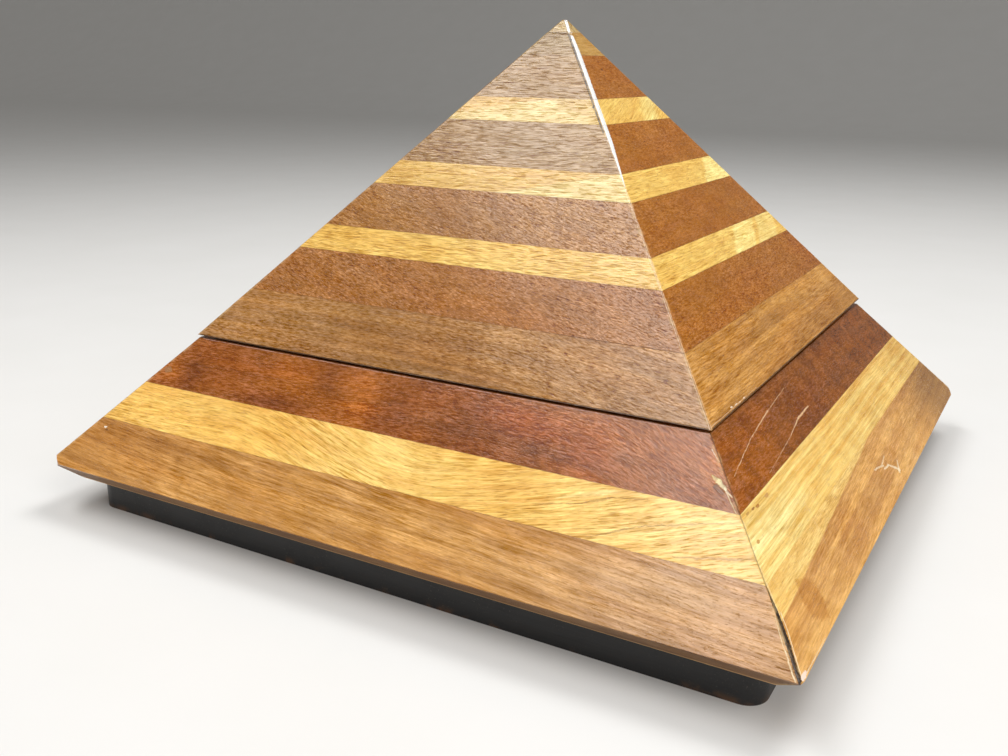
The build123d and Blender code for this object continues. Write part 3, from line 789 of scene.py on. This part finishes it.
# %% The strips, and what is special to them
WOOD_OF = {"rim": "streaky", "bottom": "streaky", "middle": "pale", "top": "red", "brown": "brown", "light": "pale"}
strips = {"lid_tip": ("pale", "front")}
for name in nodes:
    if "_strip" in name:
        side, kind = name.split("_")[1:3]
        strips[name] = (WOOD_OF[kind], side)
GREYER = {**tones((166, 130, 82), (130, 94, 54)), "Thread": 12, "Fibre": 0.42, "Pore length": 16,
          "Pore gap": 0.62, "Pores": 0.6, "Figure depth": 0.12}
HONEY = {**tones((212, 172, 92), (188, 140, 66)), "Thread": 14, "Fibre": 0.42}
SHORT_PORES = {"Pore length": 6, "Pore gap": 0.62, "Pores": 0.6}
SPECIAL = {
    "lid_tip": tones((176, 148, 90), (146, 112, 62)) | {"Seam": 0.1},
    "lid_front_rim_strip": {
        **tones((184, 134, 78), (122, 82, 44)), "Streak depth": 0.5, "Thread": 2.6, "Fibre": 0.42,
        "Lean": -0.08, "Bow": -0.1, "Bow at": 20, "Bow round": 40},
    "lid_front_brown_strip_1": {
        **tones((170, 112, 54), (120, 74, 32)), **SHORT_PORES, "Lean": -0.2, "Wander": 8, "Fibre": 0.38,
        "Painted glints": 0.7},
    "lid_front_brown_strip_2": {
        **tones((172, 120, 60), (124, 78, 36)), **SHORT_PORES, "Lean": -0.27, "Wander": 6, "Fibre": 0.4,
        "Thread": 3.2, "Painted glints": 0.6},
    "lid_front_brown_strip_3": {**GREYER, "Lean": 0.02, "Bow": 0.06, "Bow round": 15, "Fibre": 0.52, "Thread": 5},
    "lid_front_brown_strip_4": {**GREYER, "Lean": -0.02, "Fibre": 0.36},
    "lid_front_light_strip_1": {
        **tones((240, 200, 110), (206, 154, 66)), "Fibre": 0.3, "Pore gap": 0.62, "Pores": 0.75},
    "lid_front_light_strip_2": {**HONEY, **tones((222, 182, 100), (198, 150, 74)), "Lean": 0.04, "Fibre": 0.36},
    "lid_front_light_strip_3": {**HONEY, "Lean": 0.06},
    "lid_front_light_strip_4": {**GREYER, **tones((162, 132, 86), (128, 98, 58)), "Lean": 0.08},
    "base_front_top_strip": {
        "Light": shade(166, 96, 32), "Lean": -0.25, "Bow": -0.3, "Bow at": 78, "Bow round": 20,
        "Wander": 8, "Figure depth": 0.25, "Fibre": 0.56, "Deepest": -0.32, "Pores": 0.15, "Painted glints": 0.8},
    "base_front_middle_strip": {
        **tones((248, 202, 108), (214, 152, 68)), "Bow": 0.36, "Bow at": 12, "Bow round": 25,
        "Bow from": -62, "Wander": 8, "Thread": 9, "Fibre": 0.3, "Pores": 0.45},
    "base_front_bottom_strip": {
        "Light": shade(212, 156, 86), "Streak": 3.6, "Streak depth": 0.5, "Thread": 9, "Fibre": 0.3,
        "Pores": 0.25, "Lean": -0.07, "Seam": 0.2},
    "base_right_top_strip": {
        **tones((148, 84, 18), (99, 53, 10)), "Mirror": 0.25, "Lean": -0.04, "Wander": 6, "Pores": 0.04,
        "Figure": 7, "Figure depth": 0.5, "Painted glints": 1, "Fibre": 0.36},
    "base_right_middle_strip": {
        **tones((252, 220, 132), (222, 166, 70)), "Streak": 2.2, "Streak depth": 0.7, "Pores": 0.3,
        "Fibre": 0.2, "Thread": 16, "Glue": 0.2},
    "base_right_bottom_strip": {
        **tones((232, 178, 102), (180, 122, 62)), "Mirror": 0.3, "Lean": 0.04, "Seam": 0.2, "Pores": 0.25,
        "Thread": 9, "Fibre": 0.24, "Sapwood": (-14, 0.066), "Glue": 0.2},
    "lid_right_rim_strip": {
        **tones((212, 153, 74), (146, 94, 36)), "Mirror": 0.3, "Thread": 8, "Fibre": 0.3, "Streak depth": 0.5},
}
for number in range(1, 5):
    SPECIAL[f"lid_right_brown_strip_{number}"] = {
        **tones((172, 107, 32), (128, 71, 15)), "Mirror": 0.25, "Pores": 0.2, "Figure": 6,
        "Fibre": 0.36 if number == 1 else 0.3}
    SPECIAL[f"lid_right_light_strip_{number}"] = {"Pores": 0.4, "Fibre": 0.26, "Thread": 11}
SPECIAL["lid_right_light_strip_4"].update(tones((196, 152, 78), (160, 112, 50)))
SPECIAL["lid_right_light_strip_3"].update({"Lean": 0.3, "Wander": 8})

# %% Dress every strip
for seed, (name, (wood, side)) in enumerate(sorted(strips.items()), start=1):
    # bottom strips get painted shade on their lower cut edge
    shared = {"Seam": 0.15} if name.startswith("lid_") else {"Painted edge shade": 0.7} if "bottom" in name else {}
    special = {**shared, **SPECIAL.get(name, {})}
    wear_material(name, strip_material(name, wood, side, float(seed), special))
print("strips dressed", len(strips))

# %% [markdown]
# ## The plinth, the board and the hinges
# The four rails under the box are painted black with a brush, so they have long fine brush lines, a dull
# shine, and corners where the paint has rubbed down to brown. The board they hold is plain plywood.
# The hinges are thin pressed brass, a little dull, brighter where the knuckles rub.
# A plain noise would do for both, but a brush and a rolling mill leave lines that run one way, so one small
# group gives lines drawn out along a chosen direction, besides clouds and specks.

# %% Group: brushed surface
given, made = group(
    "brushed", {"Along": ORIGIN, "Fine": 1.0, "Seed": 0.0}, {"Lines": 0.0, "Clouds": 0.0, "Specks": 0.0})
drawn = move("SUBTRACT", (1.0, 1.0, 1.0), move("SCALE", given["Along"], 0.985))
spot = move("ADD", millimetres(), vector(given["Seed"], given["Seed"], given["Seed"]))
lines = noise(move("MULTIPLY", spot, drawn), given["Fine"], 3.0, 0.65)
give(made, Lines=lines, Clouds=noise(spot, 0.06, 4.0, 0.6, 0.4), Specks=noise(spot, 1.4, 2.0, 0.7))

# %% Black paint on the plinth rails
for side in SIDES:
    material, skin = new_material(f"black_paint_{side}")
    along = (1.0, 0.0, 0.0) if side in ("front", "back") else (0.0, 1.0, 0.0)
    brush = place_group("brushed", {"Along": along, "Fine": 1.6, "Seed": 3.0 * len(side)})
    height = split(millimetres())[2]
    rubbed = times(fade(height, 3.2, 0.4), fade(brush["Clouds"], 0.5, 0.62))
    dusty = times(fade(brush["Specks"], 0.6, 0.74), fade(brush["Clouds"], 0.42, 0.6))
    paint = blend(brush["Lines"], shade(17, 17, 18), shade(34, 33, 33))
    paint = blend(times(dusty, 0.35), paint, shade(112, 106, 98))
    paint = blend(times(rubbed, 0.7), paint, shade(96, 66, 40))
    link(skin, relief=brush["Lines"], bump=0.00008, Base_Color=paint,
         Roughness=fade(brush["Clouds"], 0.3, 0.7, 0.32, 0.52))
    wear_material(f"plinth_rail_{side}", material)
print("rails painted", list(SIDES))

# %% Plywood for the bottom board
material, skin = new_material("plywood")
grain = place_group("wood", {
    "Place": millimetres(), "Seed": 71.0, "Wander": 22.0, "Streak": 9.0, "Streak depth": 0.5, "Figure": 30.0,
    "Pore length": 10.0, "Pore gap": 1.1, "Pores": 0.35, **tones((226, 196, 150), (192, 152, 104))})
link(skin, relief=grain["Tone"], bump=0.0001, Base_Color=grain["Color"],
     Roughness=fade(grain["Tone"], 0.0, 1.0, 0.62, 0.8))
wear_material("bottom_board", material)

# %% Brass for the hinges
BRIGHT = {"leaves": 0.0, "pins": 0.4, "screws": 0.25}  # how far use has rubbed them
hinge_pieces = [name for name in nodes if name.startswith("hinge")]
for name in hinge_pieces:
    kind = name.split("_")[-1]
    material, skin = new_material(name + "_brass")
    along = (1.0, 0.0, 0.0) if kind == "leaves" else ORIGIN
    brush = place_group("brushed", {"Along": along, "Fine": 3.5, "Seed": 5.0 * len(name)})
    dull = fade(brush["Clouds"], 0.35, 0.66, 0.0, 1.0 - BRIGHT[kind])
    metal = blend(dull, shade(226, 186, 106), shade(168, 126, 62))
    metal = blend(fade(brush["Specks"], 0.66, 0.8, 0.0, 0.6), metal, shade(92, 64, 34))
    link(skin, relief=brush["Lines"], bump=0.00003, Base_Color=metal,
         Roughness=fade(brush["Lines"], 0.3, 0.7, 0.24, 0.42))
    skin.inputs["Metallic"].default_value = 1.0
    wear_material(name, material)
print("brass on", hinge_pieces)

# %% [markdown]
# ## The felt in the tray
# The tray is lined with one square of dark green felt, stuck down and cut a hair small, so its edge is a soft
# rounded step. A flat slab would look like card. A cloth simulation has nothing to do on a glued sheet,
# so the sheet is a fine grid whose top is raised and lowered by a fraction of a millimetre and rolls over
# at the edge. Its matted hairs are too fine for a mesh, so they are a noise in the colour and the relief.

# %% Build the felt sheet
felt_low, felt_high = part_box("tray_felt")


def swell(x, y):
    """Slow unevenness of glued felt, from 0 to 1."""
    waves = ((31.0, 17.0, 0.3), (47.0, -53.0, 1.9), (-83.0, 29.0, 4.1), (67.0, 91.0, 2.6))
    return 0.5 + sum(math.sin(a * x * 2 + b * y * 2 + c) for a, b, c in waves) / 8


def felt_sheet(steps=72):
    """A square grid with a rolled edge. line gives each row's place and its share of the full height."""
    half, top, foot = felt_high.x, felt_high.z, felt_low.z
    roll = 0.0013
    rim = [(-half, 0.0), (-half, 0.55), (-half + 0.0004, 0.85), (-half + roll, 1.0)]
    inner = [-half + roll + 2 * (half - roll) * i / steps for i in range(1, steps)]
    line = rim + [(x, 1.0) for x in inner] + [(-x, share) for x, share in reversed(rim)]
    count = len(line)
    points = []
    for y, share_y in line:
        for x, share_x in line:
            share = min(share_x, share_y)
            lift = 0.90 + 0.10 * swell(x, y) if share > 0.5 else 1
            points.append((x, y, foot + (top - foot) * share * lift))
    corners = [row * count + i for row in range(count - 1) for i in range(count - 1)]
    faces = [(a, a + 1, a + count + 1, a + count) for a in corners]
    last = count * count - 1
    outline = [*range(count - 1), *range(count - 1, last, count), *range(last, last - count + 1, -1),
               *range(last - count + 1, 0, -count)]
    made = bpy.data.meshes.new("tray_felt_sheet")
    made.from_pydata(points, [], faces + [outline[::-1]])
    made.polygons.foreach_set("use_smooth", [True] * len(faces) + [False])
    return place_object("tray_felt_sheet", made)


felt = felt_sheet()
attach(felt, "base")
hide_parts("tray_felt")
width = felt_high.x - felt_low.x

# %% Dress the felt
material, skin = new_material("green_felt")
point = millimetres()
hairs = noise(point, 1.7, 4.0, 0.75, 1.2)
crossed = noise(point, (0.35, 2.6, 1.0), 3.0, 0.7, 0.8)
matted = noise(point, 0.05, 4.0, 0.6)
nap = times_plus(crossed, 0.4, times(hairs, 0.6))
pile = blend(fade(nap, 0.3, 0.7), shade(16, 44, 30), shade(48, 92, 62))
pile = blend(fade(matted, 0.4, 0.7, 0.0, 0.4), pile, shade(58, 98, 72))
link(skin, relief=nap, bump=0.0006, Base_Color=pile, Roughness=fade(nap, 0.2, 0.8, 0.86, 1.0))
skin.inputs["Sheen Weight"].default_value = 0.35
skin.inputs["Sheen Roughness"].default_value = 0.5
skin.inputs["Specular IOR Level"].default_value = 0.2
felt.data.materials.append(material)
print("felt", [round(c * 1000, 1) for c in felt.dimensions], "faces", len(felt.data.polygons))
